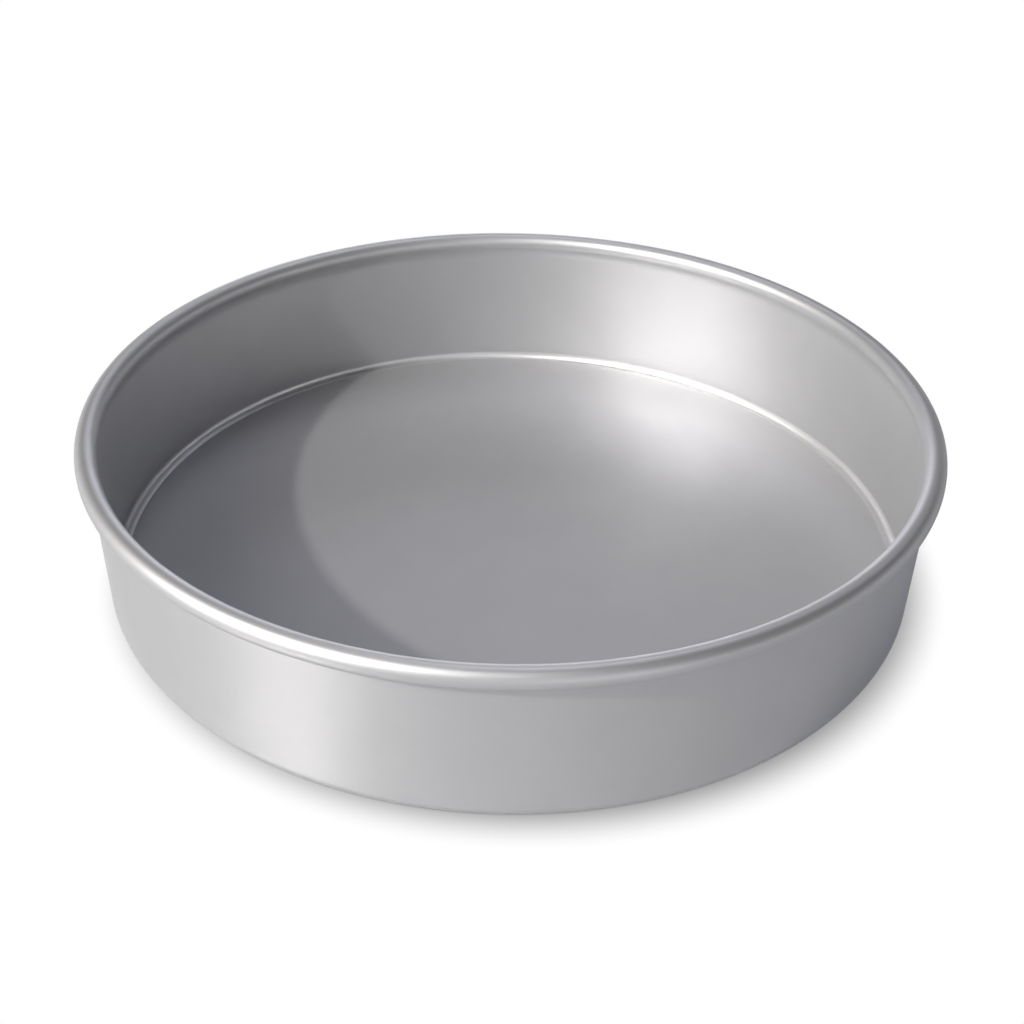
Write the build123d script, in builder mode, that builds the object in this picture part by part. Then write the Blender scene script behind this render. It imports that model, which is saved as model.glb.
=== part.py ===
from build123d import *
from math import acos, cos, degrees, radians, sin
import os

# Round cake tin with a loose base, in millimetres.
# The origin is the centre of the foot, on the surface that the tin stands on, with +Z up.
# Three pieces: a sheet wall with a rolled rim and a turned-in lip, the wire that
# the rim is rolled round, and a flat base that lies loose on the lip.

# The whole tin
inner_diameter = 254.0      # inside the wall, just below the rim: a 10 inch tin
overall_height = 52.7       # from the surface up to the top of the rim
wall_draft = 1.8            # degrees that the wall leans outwards on its way up

# Sheet and bends of the wall
sheet = 1.4                 # thickness of the wall's sheet
corner_radius = 3.0         # inside of the bend from the wall to the lip
lip_width = 7.0             # flat part of the turned-in lip, which carries the base
sheet_edge_radius = 0.4     # deburred edge of the lip

# Rolled rim and the wire inside it
wire_diameter = 3.5
wire_clearance = 0.1        # between the wire and the sheet rolled round it
bead_inset = 1.7            # how far the roll stands in from the inside of the wall
neck_radius = 3.0           # middle of the sheet, where the wall bends into the roll
curl_gap = 0.4              # between the end of the roll and the outside of the wall

# Loose base
base_thickness = 1.4
base_edge_radius = 0.6      # rounded edges of the base
base_side_gap = 0.2         # between the base and the bend beside it
base_seat_gap = 0.05        # between the base and the lip below it

# The middle line of the sheet, from the lip to the roll
half_sheet = sheet / 2
bead_diameter = wire_diameter + 2 * (wire_clearance + sheet)
bend_radius = corner_radius + half_sheet
curl_radius = bead_diameter / 2 - half_sheet
draft_sine = sin(radians(wall_draft))
draft_cosine = cos(radians(wall_draft))

# The neck turns in and the roll turns back out by the same angle, and together they
# shift the sheet in by bead_inset.
neck_angle = degrees(acos(1 - bead_inset / (neck_radius + curl_radius)))
neck_rise = (neck_radius + curl_radius) * sin(radians(neck_angle))
bead_offset = curl_radius - bead_inset

# Where the neck starts, at the top of the straight wall
bead_height = overall_height - bead_diameter / 2
neck_start_radius = inner_diameter / 2 + half_sheet
neck_start_height = bead_height - neck_rise * draft_cosine + bead_offset * draft_sine
bead_centre_radius = neck_start_radius + neck_rise * draft_sine + bead_offset * draft_cosine

# The straight wall runs down from there to the bend at the foot
wall_foot_height = half_sheet + bend_radius * (1 - draft_sine)
wall_length = (neck_start_height - wall_foot_height) / draft_cosine
bend_start_radius = neck_start_radius - wall_length * draft_sine - bend_radius * draft_cosine
lip_inner_radius = bend_start_radius - lip_width

# The roll ends under the wire, beside the outside of the wall
curl_end_angle = -degrees(acos((half_sheet - bead_offset + curl_gap) / (bead_diameter / 2)))
curl_start_angle = 180 + neck_angle - wall_draft
curl_sweep = curl_start_angle - curl_end_angle

# Tin wall: one sheet with a lip, a bend, a drafted wall, a neck and a rolled rim
with BuildPart() as tin_wall:
    with BuildSketch(Plane.XZ):
        with BuildLine():
            lip = Line((lip_inner_radius, half_sheet), (bend_start_radius, half_sheet))
            bend = JernArc(lip @ 1, lip % 1, bend_radius, 90 - wall_draft)
            wall = PolarLine(bend @ 1, wall_length, direction=bend % 1)
            neck = JernArc(wall @ 1, wall % 1, neck_radius, neck_angle)
            JernArc(neck @ 1, neck % 1, curl_radius, -curl_sweep)
        trace(line_width=sheet)
    revolve(axis=Axis.Z)
    lip_edges = tin_wall.edges().filter_by(GeomType.CIRCLE).filter_by(
        lambda edge: abs(edge.radius - lip_inner_radius) < half_sheet
    )
    fillet(lip_edges, radius=sheet_edge_radius)
tin_wall.part.label = "tin_wall"

# Rim wire: a ring of wire inside the rolled rim
with BuildPart() as rim_wire:
    with BuildSketch(Plane.XZ):
        with Locations((bead_centre_radius, bead_height)):
            Circle(wire_diameter / 2)
    revolve(axis=Axis.Z)
rim_wire.part.label = "rim_wire"

# Loose base: a flat disc on the lip, free to be pushed up out of the wall
base_radius = bend_start_radius - base_side_gap
base_height = sheet + base_seat_gap
with BuildPart() as loose_base:
    with BuildSketch(Plane.XY.offset(base_height)):
        Circle(base_radius)
    extrude(amount=base_thickness)
    fillet(loose_base.edges(), radius=base_edge_radius)
loose_base.part.label = "loose_base"

os.makedirs("parts", exist_ok=True)
export_step(tin_wall.part, "parts/tin_wall.step")
export_step(rim_wire.part, "parts/rim_wire.step")
export_step(loose_base.part, "parts/loose_base.step")

# What the base passes on its way up: the narrowest place is inside the roll
roll_inner_radius = bead_centre_radius - bead_diameter / 2
print("base radius %.2f, inside of the roll %.2f" % (base_radius, roll_inner_radius))
print("base lies on the lip from %.2f to %.2f" % (lip_inner_radius, base_radius))
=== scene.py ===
from math import acos, cos, pi, radians, sin

import bmesh
import bpy
from mathutils import Matrix, Vector


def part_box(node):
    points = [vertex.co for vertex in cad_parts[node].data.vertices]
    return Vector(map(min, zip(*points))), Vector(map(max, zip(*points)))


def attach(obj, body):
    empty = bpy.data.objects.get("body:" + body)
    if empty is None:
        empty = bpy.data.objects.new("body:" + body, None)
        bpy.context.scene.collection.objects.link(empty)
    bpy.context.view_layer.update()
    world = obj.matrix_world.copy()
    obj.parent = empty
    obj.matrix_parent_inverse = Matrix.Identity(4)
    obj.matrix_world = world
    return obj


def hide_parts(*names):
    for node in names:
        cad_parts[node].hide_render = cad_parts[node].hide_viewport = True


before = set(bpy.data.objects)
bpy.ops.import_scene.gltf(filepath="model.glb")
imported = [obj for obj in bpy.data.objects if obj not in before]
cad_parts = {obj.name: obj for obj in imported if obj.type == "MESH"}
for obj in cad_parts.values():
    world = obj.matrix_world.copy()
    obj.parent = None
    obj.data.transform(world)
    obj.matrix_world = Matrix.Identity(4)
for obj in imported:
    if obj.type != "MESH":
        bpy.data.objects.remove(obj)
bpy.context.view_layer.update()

# Tin wall
# One ring of 1.4 mm aluminium sheet: a lip turned in at the foot to carry the base, a
# small bend, a wall that leans out by under two degrees and a rim rolled outwards round
# a wire. It is spun and pressed, then anodised natural, so it is an even satin grey.
mm = 0.001
sheet = 1.4 * mm
wall_draft = radians(1.8)
corner_radius = 3.0 * mm
lip_width = 7.0 * mm
roll_diameter = 6.5 * mm
roll_inset = 1.7 * mm
neck_radius = 9.0 * mm
curl_gap = 0.4 * mm
cut_edge_radius = 0.2 * mm
cut_edge_angle = radians(50)
wall_rubbed_band = 0.9 * mm
steps_round_the_tin = 320
wall_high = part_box("tin_wall")[1]

# The middle line of the sheet, as (distance from the axis, height), from the rim down
half_sheet = sheet / 2
bend_radius = corner_radius + half_sheet
curl_radius = roll_diameter / 2 - half_sheet
neck_angle = acos(1 - roll_inset / (neck_radius + curl_radius))
roll_offset = curl_radius - roll_inset
neck_rise = (neck_radius + curl_radius) * sin(neck_angle)
roll_centre = Vector((wall_high.x - roll_diameter / 2, wall_high.z - roll_diameter / 2))
up_the_wall = Vector((sin(wall_draft), cos(wall_draft)))
out_of_the_wall = Vector((cos(wall_draft), -sin(wall_draft)))
wall_top = roll_centre - neck_rise * up_the_wall - roll_offset * out_of_the_wall
neck_centre = wall_top - neck_radius * out_of_the_wall
bend_centre_height = half_sheet + bend_radius
wall_bottom_height = bend_centre_height - bend_radius * sin(wall_draft)
wall_bottom = wall_top - up_the_wall * (wall_top.y - wall_bottom_height) / up_the_wall.y
bend_centre = wall_bottom - bend_radius * out_of_the_wall
curl_start = pi + neck_angle - wall_draft
curl_end = -acos((half_sheet - roll_offset + curl_gap) / (roll_diameter / 2))


def add_node(tree, kind, sockets=None, **settings):
    """Adds a node with its settings. A socket takes a value, an output or a list of outputs."""
    node = tree.nodes.new(kind)
    for name, value in settings.items():
        setattr(node, name, value)
    for name, value in (sockets or {}).items():
        items = value if isinstance(value, list) else [value]
        for item in items:
            if isinstance(item, bpy.types.NodeSocket):
                tree.links.new(item, node.inputs[name])
            else:
                node.inputs[name].default_value = item
    return node


def sheet_round_the_axis(name, runs, steps_around, material):
    """Turns the lines and arcs of a section into a surface of revolution.

    Each run is a name and its sizes. A line goes from one point to another, an arc has its
    centre, radius, start and sweep, and both have steps. Each size is an input of the
    tree, named for its run.
    """
    merge_distance = 0.01 * mm
    almost_no_radius = 1e-6
    tree = bpy.data.node_groups.new(name, "GeometryNodeTree")
    tree.interface.new_socket("Geometry", in_out="OUTPUT", socket_type="NodeSocketGeometry")
    values = {}

    def named_input(label, kind, value):
        socket = tree.interface.new_socket(label, in_out="INPUT", socket_type=kind)
        values[socket.identifier] = value

    for run, sizes in runs:
        for size, value in sizes.items():
            label = f"{run} {size}"
            if size in ("from", "to", "centre"):
                named_input(label, "NodeSocketVector", (value[0], value[1], 0))
            elif size == "steps":
                named_input(label, "NodeSocketInt", value)
            else:
                named_input(label, "NodeSocketFloat", value)
    named_input("steps around", "NodeSocketInt", steps_around)
    named_input("material", "NodeSocketMaterial", material)
    sizes_in = add_node(tree, "NodeGroupInput").outputs

    curves = []
    for run, sizes in runs:
        if "radius" in sizes:
            arc = add_node(tree, "GeometryNodeCurveArc", {
                "Radius": sizes_in[f"{run} radius"],
                "Start Angle": sizes_in[f"{run} start"],
                "Sweep Angle": sizes_in[f"{run} sweep"],
                "Resolution": sizes_in[f"{run} steps"],
            }, mode="RADIUS")
            placed = add_node(tree, "GeometryNodeTransform", {
                "Geometry": arc.outputs["Curve"],
                "Translation": sizes_in[f"{run} centre"],
            })
            curves.append(placed.outputs["Geometry"])
        else:
            line = add_node(tree, "GeometryNodeCurvePrimitiveLine", {
                "Start": sizes_in[f"{run} from"],
                "End": sizes_in[f"{run} to"],
            })
            divided = add_node(tree, "GeometryNodeResampleCurve", {
                "Curve": line.outputs["Curve"],
                "Count": sizes_in[f"{run} steps"],
            })
            curves.append(divided.outputs["Curve"])
    joined = add_node(tree, "GeometryNodeJoinGeometry", {"Geometry": curves})

    # A circle carries a section upside down, so the section is turned over first. The
    # circle has almost no radius of its own, so a section's first number is its distance
    # from the axis.
    section = add_node(tree, "GeometryNodeTransform", {
        "Geometry": joined.outputs["Geometry"],
        "Rotation": (pi, 0, 0),
    })
    axis_circle = add_node(tree, "GeometryNodeCurvePrimitiveCircle", {
        "Resolution": sizes_in["steps around"],
        "Radius": almost_no_radius,
    })
    turned = add_node(tree, "GeometryNodeCurveToMesh", {
        "Curve": axis_circle.outputs["Curve"],
        "Profile Curve": section.outputs["Geometry"],
    })
    merged = add_node(tree, "GeometryNodeMergeByDistance", {
        "Geometry": turned.outputs["Mesh"],
        "Distance": merge_distance,
    })
    smooth = add_node(tree, "GeometryNodeSetShadeSmooth", {"Geometry": merged.outputs["Geometry"]})
    real = add_node(tree, "GeometryNodeRealizeInstances", {"Geometry": smooth.outputs["Geometry"]})
    finished = add_node(tree, "GeometryNodeSetMaterial", {
        "Geometry": real.outputs["Geometry"],
        "Material": sizes_in["material"],
    })
    add_node(tree, "NodeGroupOutput", {"Geometry": finished.outputs["Geometry"]})

    maker = bpy.data.objects.new(name + "_maker", bpy.data.meshes.new(name + "_maker"))
    bpy.context.scene.collection.objects.link(maker)
    modifier = maker.modifiers.new("section", "NODES")
    modifier.node_group = tree
    for identifier, value in values.items():
        modifier[identifier] = value
    graph = bpy.context.evaluated_depsgraph_get()
    mesh = bpy.data.meshes.new_from_object(maker.evaluated_get(graph))
    bpy.data.objects.remove(maker)
    mesh.name = name

    # The faces are made to point the same way before a wall gets its thickness
    shell = bmesh.new()
    shell.from_mesh(mesh)
    bmesh.ops.recalc_face_normals(shell, faces=shell.faces)
    shell.to_mesh(mesh)
    shell.free()
    piece = bpy.data.objects.new(name, mesh)
    bpy.context.scene.collection.objects.link(piece)
    return piece


def linear(hex_colour):
    """Turns a hex colour into linear red, green, blue and alpha, by the sRGB curve."""
    channels = [int(hex_colour[i:i + 2], 16) / 255 for i in (1, 3, 5)]
    linear_channels = [
        c / 12.92 if c <= 0.04045 else ((c + 0.055) / 1.055) ** 2.4 for c in channels
    ]
    return (*linear_channels, 1)


def anodised_aluminium(name, tones, roughness, rubbed):
    """Natural anodised aluminium: etched matt, then anodised.

    The eye sees an even satin grey with soft, wide highlights, very faint clouds in the
    tone, a fine etched grain, and an edge that handling has rubbed a little brighter and
    smoother. The grain is really under 0.1 mm, too fine to show, so it is drawn at
    0.5 mm. The oxide scatters some of the light, so the sheet isn't fully metallic.
    The tones are of a dark cloud, a light cloud and the rubbed edge. Rubbed says where
    that edge is, by its height or its distance from the axis.
    """
    cloud_size = 28 * mm
    grain_size = 0.5 * mm
    grain_depth = 0.003 * mm
    metallic = 0.85
    dark_stop = 0.3
    light_stop = 0.7
    rubbed_stop = 1.0
    edge_wear = 0.45
    duller_cloud = 0.01
    smoother_edge = 0.05
    material = bpy.data.materials.new(name)
    material.use_nodes = True
    tree = material.node_tree
    surface = tree.nodes["Principled BSDF"]
    place = add_node(tree, "ShaderNodeTexCoord").outputs["Object"]
    clouds = add_node(tree, "ShaderNodeTexNoise", {
        "Vector": place, "Scale": 1 / cloud_size, "Detail": 3.0, "Roughness": 0.55,
    })
    parts = add_node(tree, "ShaderNodeSeparateXYZ", {"Vector": place})
    level = add_node(tree, "ShaderNodeCombineXYZ", {
        "X": parts.outputs["X"], "Y": parts.outputs["Y"],
    })
    from_axis = add_node(tree, "ShaderNodeVectorMath", {
        "Vector": level.outputs["Vector"],
    }, operation="LENGTH")
    measured = {"height": parts.outputs["Z"], "distance": from_axis.outputs["Value"]}
    edge = add_node(tree, "ShaderNodeMapRange", {
        "Value": measured[rubbed["by"]],
        "From Min": rubbed["from"], "From Max": rubbed["to"], "To Min": 0.0, "To Max": edge_wear,
    }, interpolation_type="SMOOTHSTEP")
    wear = add_node(tree, "ShaderNodeMath", {
        0: clouds.outputs["Fac"], 1: edge.outputs["Result"],
    }, operation="ADD")
    tone = add_node(tree, "ShaderNodeValToRGB", {"Fac": wear.outputs["Value"]})
    tone.color_ramp.elements.new(light_stop)
    stops = (dark_stop, light_stop, rubbed_stop)
    for stop, position, colour in zip(tone.color_ramp.elements, stops, tones):
        stop.position = position
        stop.color = linear(colour)
    gloss = add_node(tree, "ShaderNodeMapRange", {
        "Value": wear.outputs["Value"],
        "From Min": dark_stop, "From Max": rubbed_stop,
        "To Min": roughness + duller_cloud, "To Max": roughness - smoother_edge,
    })
    grain = add_node(tree, "ShaderNodeTexNoise", {
        "Vector": place, "Scale": 1 / grain_size, "Detail": 2.0,
    })
    relief = add_node(tree, "ShaderNodeBump", {
        "Height": grain.outputs["Fac"], "Distance": grain_depth, "Strength": 0.5,
    })
    tree.links.new(tone.outputs["Color"], surface.inputs["Base Color"])
    tree.links.new(gloss.outputs["Result"], surface.inputs["Roughness"])
    tree.links.new(relief.outputs["Normal"], surface.inputs["Normal"])
    surface.inputs["Metallic"].default_value = metallic
    return material


def paint_highlight_in_the_bend(material):
    """Paints a highlight on the inside of the bend as a lighter colour, and makes it smoother.

    The inner face of the sheet is the one that faces up. The painted highlight fades out round the
    top of the bend.
    """
    highlight_up_to = bend_centre_height - 0.8 * mm
    highlight_gone_from = bend_centre_height + 0.3 * mm
    fully_facing_up = 0.03
    smoother = 0.1
    tree = material.node_tree
    surface = tree.nodes["Principled BSDF"]
    tone_before = surface.inputs["Base Color"].links[0].from_socket
    roughness_before = surface.inputs["Roughness"].links[0].from_socket
    coordinates = add_node(tree, "ShaderNodeTexCoord").outputs
    place = add_node(tree, "ShaderNodeSeparateXYZ", {"Vector": coordinates["Object"]})
    facing = add_node(tree, "ShaderNodeSeparateXYZ", {"Vector": coordinates["Normal"]})
    in_the_bend = add_node(tree, "ShaderNodeMapRange", {
        "Value": place.outputs["Z"],
        "From Min": highlight_up_to, "From Max": highlight_gone_from, "To Min": 1.0, "To Max": 0.0,
    }, interpolation_type="SMOOTHSTEP")
    facing_up = add_node(tree, "ShaderNodeMapRange", {
        "Value": facing.outputs["Z"], "From Min": 0.0, "From Max": fully_facing_up,
    })
    bend_highlight_and_gloss = add_node(tree, "ShaderNodeMath", {
        0: in_the_bend.outputs["Result"], 1: facing_up.outputs["Result"],
    }, operation="MULTIPLY")
    # Painted highlight: inside the bend the colour is lightened towards #EEEEF0. The lower
    # roughness is a real change of gloss.
    tone = add_node(tree, "ShaderNodeMixRGB", {
        "Fac": bend_highlight_and_gloss.outputs["Value"], "Color1": tone_before, "Color2": linear("#EEEEF0"),
    })
    gloss = add_node(tree, "ShaderNodeMath", {
        0: bend_highlight_and_gloss.outputs["Value"], 1: -smoother, 2: roughness_before,
    }, operation="MULTIPLY_ADD")
    tree.links.new(tone.outputs["Color"], surface.inputs["Base Color"])
    tree.links.new(gloss.outputs["Value"], surface.inputs["Roughness"])


wall_finish = anodised_aluminium(
    "satin_anodised_sheet", tones=("#C4C5C8", "#C8C9CC", "#D2D2D4"), roughness=0.5,
    rubbed={"by": "height", "from": wall_high.z - wall_rubbed_band, "to": wall_high.z})
# The inside of the bend gets a painted highlight and a little less roughness
paint_highlight_in_the_bend(wall_finish)
wall_runs = [
    ("roll", {"centre": roll_centre, "radius": curl_radius, "start": curl_start,
              "sweep": curl_end - curl_start, "steps": 40}),
    ("neck", {"centre": neck_centre, "radius": neck_radius, "start": -wall_draft,
              "sweep": neck_angle, "steps": 10}),
    ("wall", {"from": wall_bottom, "to": wall_top, "steps": 24}),
    ("bend", {"centre": bend_centre, "radius": bend_radius, "start": -pi / 2,
              "sweep": pi / 2 - wall_draft, "steps": 14}),
    ("lip", {"from": (bend_centre.x - lip_width, half_sheet), "to": (bend_centre.x, half_sheet),
             "steps": 5}),
]
wall = sheet_round_the_axis("spun_wall", wall_runs, steps_round_the_tin, wall_finish)
thickness = wall.modifiers.new("thickness", "SOLIDIFY")
thickness.thickness = sheet
thickness.offset = 0
thickness.use_even_offset = True
thickness.use_quality_normals = True
cut_edges = wall.modifiers.new("cut edges", "BEVEL")
cut_edges.limit_method = "ANGLE"
cut_edges.angle_limit = cut_edge_angle
cut_edges.width = cut_edge_radius
cut_edges.segments = 2
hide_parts("tin_wall")
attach(wall, "tin")

# Rim wire
# A ring of 3.5 mm aluminium wire, cut and butted end to end. Drawing it through a die
# leaves it smoother than the sheet. The rim is rolled round it and hides it, but for the
# narrow gap between the end of the roll and the wall.
wire_rubbed_band = 0.5 * mm
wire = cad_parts["rim_wire"]
wire_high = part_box("rim_wire")[1]
wire_finish = anodised_aluminium(
    "drawn_aluminium_wire", tones=("#BBBBBC", "#C2C2C2", "#CBCBCB"), roughness=0.4,
    rubbed={"by": "height", "from": wire_high.z - wire_rubbed_band, "to": wire_high.z})
for slot in wire.material_slots:
    slot.material = wire_finish

# Loose base
# A flat disc of the same sheet, blanked and deburred, then anodised with the wall. It
# lies on the lip and is pushed up from below to free the cake.
base_edge_radius = 0.6 * mm
base_rubbed_band = 0.5 * mm
base_low, base_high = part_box("loose_base")
base_radius = base_high.x
rounded_from = base_radius - base_edge_radius
base_finish = anodised_aluminium(
    "satin_anodised_base", tones=("#C4C4C7", "#C8C8CA", "#D2D2D4"), roughness=0.55,
    rubbed={"by": "distance", "from": base_radius - base_rubbed_band, "to": base_radius})
base_runs = [
    ("underside", {"from": (0, base_low.z), "to": (rounded_from, base_low.z), "steps": 12}),
    ("lower edge", {"centre": (rounded_from, base_low.z + base_edge_radius),
                    "radius": base_edge_radius, "start": -pi / 2, "sweep": pi / 2, "steps": 6}),
    ("rim", {"from": (base_radius, base_low.z + base_edge_radius),
             "to": (base_radius, base_high.z - base_edge_radius), "steps": 2}),
    ("upper edge", {"centre": (rounded_from, base_high.z - base_edge_radius),
                    "radius": base_edge_radius, "start": 0, "sweep": pi / 2, "steps": 6}),
    ("top", {"from": (rounded_from, base_high.z), "to": (0, base_high.z), "steps": 12}),
]
base = sheet_round_the_axis("loose_disc", base_runs, steps_round_the_tin, base_finish)
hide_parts("loose_base")
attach(base, "base")

# Floor
# A glossy white acrylic table, hidden from the camera, gives the outer wall its sheen.
# The photograph's ground is cut out and white, with a faint shadow by the foot, so the
# camera is shown a ground and a backdrop like that instead.
floor_side = 8.0
floor_height = -0.05 * mm
backdrop_radius = 9.0
shadow_centre = (4 * mm, -2 * mm, 0)
shadow_inside = 116 * mm
shadow_outside = 136 * mm
shadow_brightness = 0.25
foot_radius = 119.5 * mm
contact_inside = 4.1 * mm
contact_outside = 5.9 * mm
contact_brightness = 0.3


def level_sheet(name, material):
    """A square sheet just under the foot. It is not part of the tin."""
    half = floor_side / 2
    mesh = bpy.data.meshes.new(name)
    corners = [(-half, -half), (half, -half), (half, half), (-half, half)]
    mesh.from_pydata([(x, y, floor_height) for x, y in corners], [], [(0, 1, 2, 3)])
    mesh.materials.append(material)
    placed_sheet = bpy.data.objects.new(name, mesh)
    bpy.context.scene.collection.objects.link(placed_sheet)
    return placed_sheet


# Cast acrylic sheet with a slight haze, which mirrors the lights softly. Its IOR is above
# the real 1.49 and it glows a little, both matched to the photograph's tones.
acrylic = bpy.data.materials.new("glossy_white_acrylic")
acrylic.use_nodes = True
acrylic_surface = acrylic.node_tree.nodes["Principled BSDF"]
acrylic_surface.inputs["Base Color"].default_value = linear("#A6A6A6")
acrylic_surface.inputs["Emission Color"].default_value = linear("#F4F5FF")
acrylic_surface.inputs["Emission Strength"].default_value = 0.2
acrylic_surface.inputs["Roughness"].default_value = 0.2
acrylic_surface.inputs["IOR"].default_value = 1.8
table = level_sheet("table", acrylic)
table.visible_camera = False

# The white ground has a painted shadow: it glows darker under the tin, and darkest in a ring where
# the foot meets it
white_ground = bpy.data.materials.new("white_ground_painted_shadow")
white_ground.use_nodes = True
ground_tree = white_ground.node_tree
ground_tree.nodes.remove(ground_tree.nodes["Principled BSDF"])
ground_place = add_node(ground_tree, "ShaderNodeTexCoord").outputs["Object"]
from_the_middle = add_node(ground_tree, "ShaderNodeVectorMath", {
    0: ground_place, 1: shadow_centre,
}, operation="DISTANCE")
shadow = add_node(ground_tree, "ShaderNodeMapRange", {
    "Value": from_the_middle.outputs["Value"],
    "From Min": shadow_inside, "From Max": shadow_outside,
    "To Min": shadow_brightness, "To Max": 1.0,
}, interpolation_type="SMOOTHSTEP")
from_the_axis = add_node(ground_tree, "ShaderNodeVectorMath", {
    0: ground_place,
}, operation="LENGTH")
past_the_foot = add_node(ground_tree, "ShaderNodeMath", {
    0: from_the_axis.outputs["Value"], 1: foot_radius,
}, operation="SUBTRACT")
from_the_foot = add_node(ground_tree, "ShaderNodeMath", {
    0: past_the_foot.outputs["Value"],
}, operation="ABSOLUTE")
contact = add_node(ground_tree, "ShaderNodeMapRange", {
    "Value": from_the_foot.outputs["Value"],
    "From Min": contact_inside, "From Max": contact_outside,
    "To Min": contact_brightness, "To Max": 1.0,
}, interpolation_type="SMOOTHSTEP")
painted_shadow_level = add_node(ground_tree, "ShaderNodeMath", {
    0: shadow.outputs["Result"], 1: contact.outputs["Result"],
}, operation="MULTIPLY")
# The ground's glow is dimmed by the painted shadow
glow = add_node(ground_tree, "ShaderNodeEmission", {"Strength": painted_shadow_level.outputs["Value"]})
ground_tree.links.new(
    glow.outputs["Emission"], ground_tree.nodes["Material Output"].inputs["Surface"])
ground = level_sheet("ground", white_ground)

# The backdrop is a dome of the same white, seen from inside
dome = bmesh.new()
bmesh.ops.create_icosphere(dome, subdivisions=4, radius=backdrop_radius)
bmesh.ops.reverse_faces(dome, faces=dome.faces)
dome_mesh = bpy.data.meshes.new("backdrop")
dome.to_mesh(dome_mesh)
dome.free()
dome_mesh.materials.append(white_ground)
backdrop = bpy.data.objects.new("backdrop", dome_mesh)
bpy.context.scene.collection.objects.link(backdrop)
for shown in (ground, backdrop):
    shown.visible_diffuse = False
    shown.visible_glossy = False
    shown.visible_shadow = False

# Studio light
# A small key light from the front left throws the rim's shadow on the base. A diffuser
# round it spreads the highlights, and weak softboxes on all sides fill in.
scene = bpy.context.scene
warm_white = linear("#FFFBF4")[:3]
cool_white = linear("#F2F4FF")[:3]
key_place = {"turn": 215, "rise": 35.5, "distance": 1.5}


def softbox(name, turn, rise, power, colour, distance=1.4, side=0.7):
    """A square area light that faces the tin.

    Turn is from +X towards +Y and rise is upwards from the floor, both in degrees.
    """
    light = bpy.data.lights.new(name, "AREA")
    light.color = colour
    light.shape = "SQUARE"
    light.size = side
    light.energy = power
    lamp = bpy.data.objects.new(name, light)
    towards = Vector((
        cos(radians(turn)) * cos(radians(rise)),
        sin(radians(turn)) * cos(radians(rise)),
        sin(radians(rise)),
    ))
    lamp.location = towards * distance
    lamp.rotation_euler = towards.to_track_quat("Z", "Y").to_euler()
    scene.collection.objects.link(lamp)


softbox("key", power=18.5, colour=warm_white, side=0.05, **key_place)
softbox("key_diffuser", power=13, colour=warm_white, side=0.9, **key_place)
softbox("front_left", turn=225, rise=45, power=1.0, colour=warm_white)
softbox("left", turn=180, rise=45, power=0.4, colour=cool_white)
softbox("front", turn=270, rise=45, power=0.6, colour=cool_white)
softbox("low_front", turn=290, rise=15, power=1.4, colour=cool_white)
softbox("high_front", turn=250, rise=60, power=0.6, colour=cool_white, distance=1.2, side=0.25)
softbox("low_back", turn=95, rise=15, power=2.1, colour=cool_white)
softbox("back", turn=85, rise=65, power=2.4, colour=cool_white)
softbox("back_right", turn=40, rise=45, power=0.3, colour=cool_white, side=0.3)
softbox("low_right", turn=0, rise=15, power=0.2, colour=cool_white)

# The room has pale walls round the horizon and a dark ceiling
walls_fade_from = radians(10)
walls_fade_to = radians(17)
world = bpy.data.worlds.new("studio")
world.use_nodes = True
room = world.node_tree
direction = add_node(room, "ShaderNodeTexCoord").outputs["Generated"]
direction_parts = add_node(room, "ShaderNodeSeparateXYZ", {"Vector": direction})
walls = add_node(room, "ShaderNodeMapRange", {
    "Value": direction_parts.outputs["Z"],
    "From Min": sin(walls_fade_from), "From Max": sin(walls_fade_to), "To Min": 1.0, "To Max": 0.0,
}, interpolation_type="SMOOTHSTEP")
room.links.new(walls.outputs["Result"], room.nodes["Background"].inputs["Color"])
room.nodes["Background"].inputs["Strength"].default_value = 0.7
scene.world = world
scene.view_settings.view_transform = "Standard"

# Camera
# A 55 mm lens on a 36 mm frame, about half a metre away and looking down by 34 degrees.
# Its place, lens and slight roll were fitted to the outlines of the tin in the photograph.
camera_place = Vector((0.66, -419.0, 290.2)) * mm
camera_dip = radians(33.592)
camera_roll = radians(1.008)
focal_length_in_mm = 54.66
frame_width_in_mm = 36
lens = bpy.data.cameras.new("camera")
lens.lens = focal_length_in_mm
lens.sensor_width = frame_width_in_mm
lens.clip_start = 10 * mm
camera = bpy.data.objects.new("camera", lens)
camera.matrix_world = (
    Matrix.Translation(camera_place)
    @ Matrix.Rotation(pi / 2 - camera_dip, 4, "X")
    @ Matrix.Rotation(camera_roll, 4, "Z")
)
scene.collection.objects.link(camera)
scene.camera = camera
